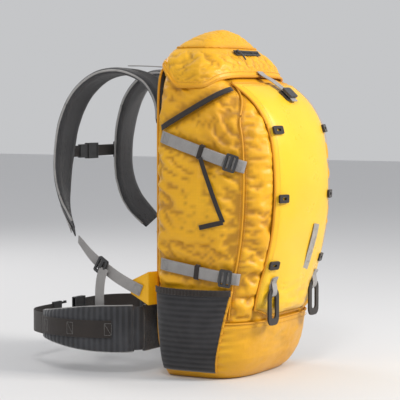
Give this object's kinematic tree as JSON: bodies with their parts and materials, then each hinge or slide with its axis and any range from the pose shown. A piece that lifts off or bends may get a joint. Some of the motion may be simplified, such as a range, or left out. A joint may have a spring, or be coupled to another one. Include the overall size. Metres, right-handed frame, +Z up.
{
  "type": "ski backpack",
  "caption": "Tall top-loading ski backpack with a hinged domed lid, framed padded back, shoulder straps, a hip belt and side straps that carry skis.",
  "frame": {"origin": "centre of the flat base the pack stands on", "axes": "+Z up, +Y the way the wearer faces, so the shoulder straps are on the +Y side and the outer panel on the -Y side, +X the wearer's right"},
  "size_m": [0.3806, 0.4965, 0.586],
  "materials": {
    "yellow_fabric": "woven nylon, satin",
    "panel_fabric": "coated nylon, smooth",
    "stretch_fabric": "knitted stretch fabric, matt",
    "padded_mesh": "foam under mesh, matt",
    "grey_webbing": "woven webbing",
    "dark_webbing": "woven webbing",
    "cord": "braided cord",
    "zip_tape": "coated tape and coil",
    "black_plastic": "moulded, fine texture",
    "frame_plastic": "smooth sheet"
  },
  "bodies": {
    "pack": {"bag_body": "yellow_fabric", "base_boot": "yellow_fabric", "snow_collar": "yellow_fabric", "strap_fin_left": "yellow_fabric", "strap_fin_right": "yellow_fabric", "front_panel": "panel_fabric", "side_pocket_left": "stretch_fabric", "lash_tab_left_1": "dark_webbing", "lash_tab_left_2": "dark_webbing", "lash_tab_left_3": "dark_webbing", "upper_compression_strap_left": "grey_webbing", "upper_strap_buckle_left": "black_plastic", "lower_compression_strap_left": "grey_webbing", "lower_strap_buckle_left": "black_plastic", "lid_side_strap_left": "dark_webbing", "shoulder_strap_left": "padded_mesh", "shoulder_webbing_left": "grey_webbing", "shoulder_ladder_lock_left": "black_plastic", "load_lifter_left": "grey_webbing", "side_pocket_right": "stretch_fabric", "lash_tab_right_1": "dark_webbing", "lash_tab_right_2": "dark_webbing", "lash_tab_right_3": "dark_webbing", "upper_compression_strap_right": "grey_webbing", "upper_strap_buckle_right": "black_plastic", "lower_compression_strap_right": "grey_webbing", "lower_strap_buckle_right": "black_plastic", "lid_side_strap_right": "dark_webbing", "shoulder_strap_right": "padded_mesh", "shoulder_webbing_right": "grey_webbing", "shoulder_ladder_lock_right": "black_plastic", "load_lifter_right": "grey_webbing", "collar_drawcord": "cord", "cord_lock_body": "black_plastic", "closure_plate_lower": "black_plastic", "back_panel": "padded_mesh", "lumbar_pad": "padded_mesh", "hip_belt_core": "padded_mesh", "frame_sheet": "frame_plastic"},
    "lid": {"lid_shell": "yellow_fabric", "lid_zip": "zip_tape", "lid_closure_tongue": "grey_webbing", "closure_plate_upper": "black_plastic"},
    "zip_slider": {"lid_zip_slider": "black_plastic"},
    "haul_loop": {"haul_loop": "dark_webbing"},
    "hip_wing_left": {"hip_wing_left": "padded_mesh", "hip_webbing_left": "dark_webbing"},
    "hip_wing_right": {"hip_wing_right": "padded_mesh", "hip_webbing_right": "dark_webbing", "hip_buckle_female": "black_plastic"},
    "hip_buckle_male": {"hip_buckle_male": "black_plastic"},
    "sternum_strap": {"sternum_slider_left": "black_plastic", "sternum_slider_right": "black_plastic", "sternum_webbing_left": "grey_webbing", "sternum_webbing_right": "grey_webbing", "sternum_buckle_female": "black_plastic"},
    "sternum_buckle_male": {"sternum_buckle_male": "black_plastic"},
    "cord_lock_button": {"cord_lock_button": "black_plastic"},
    "ice_axe_loop_left": {"ice_axe_loop_left": "grey_webbing"},
    "ice_axe_loop_right": {"ice_axe_loop_right": "grey_webbing"}
  },
  "joints": [
    {"name": "lid_hinge", "type": "hinge", "parent": "pack", "child": "lid", "pos_m": [0, 0.072, 0.529], "axis": [-1, 0, 0], "range_deg": [0, 110]},
    {"name": "lid_zip_slide", "type": "slide", "parent": "lid", "child": "zip_slider", "axis": [1, 0, 0], "range_m": [0, 0.074]},
    {"name": "haul_loop_swing", "type": "hinge", "parent": "pack", "child": "haul_loop", "pos_m": [0, 0.0865, 0.512], "axis": [1, 0, 0], "range_deg": [0, 100]},
    {"name": "hip_wing_left_swing", "type": "hinge", "parent": "pack", "child": "hip_wing_left", "pos_m": [-0.138, 0.094, 0.08], "axis": [0, 0, 1], "range_deg": [0, 60]},
    {"name": "hip_wing_right_swing", "type": "hinge", "parent": "pack", "child": "hip_wing_right", "pos_m": [0.138, 0.094, 0.08], "axis": [0, 0, -1], "range_deg": [0, 60]},
    {"name": "hip_buckle_adjust", "type": "slide", "parent": "hip_wing_left", "child": "hip_buckle_male", "axis": [-1, 0, 0], "range_m": [0, 0.02]},
    {"name": "sternum_height", "type": "slide", "parent": "pack", "child": "sternum_strap", "axis": [0, 0, 1], "range_m": [-0.025, 0.025]},
    {"name": "sternum_release", "type": "slide", "parent": "sternum_strap", "child": "sternum_buckle_male", "axis": [-1, 0, 0], "range_m": [0, 0.02]},
    {"name": "cord_lock_press", "type": "slide", "parent": "pack", "child": "cord_lock_button", "axis": [0, 0, -1], "range_m": [0, 0.003], "stiffness_N_per_m": 800, "springref_m": -0.002},
    {"name": "ice_axe_loop_left_swing", "type": "hinge", "parent": "pack", "child": "ice_axe_loop_left", "pos_m": [-0.078, -0.1275, 0.15], "axis": [-1, 0, 0], "range_deg": [0, 90]},
    {"name": "ice_axe_loop_right_swing", "type": "hinge", "parent": "pack", "child": "ice_axe_loop_right", "pos_m": [0.078, -0.1275, 0.15], "axis": [-1, 0, 0], "range_deg": [0, 90]}
  ]
}
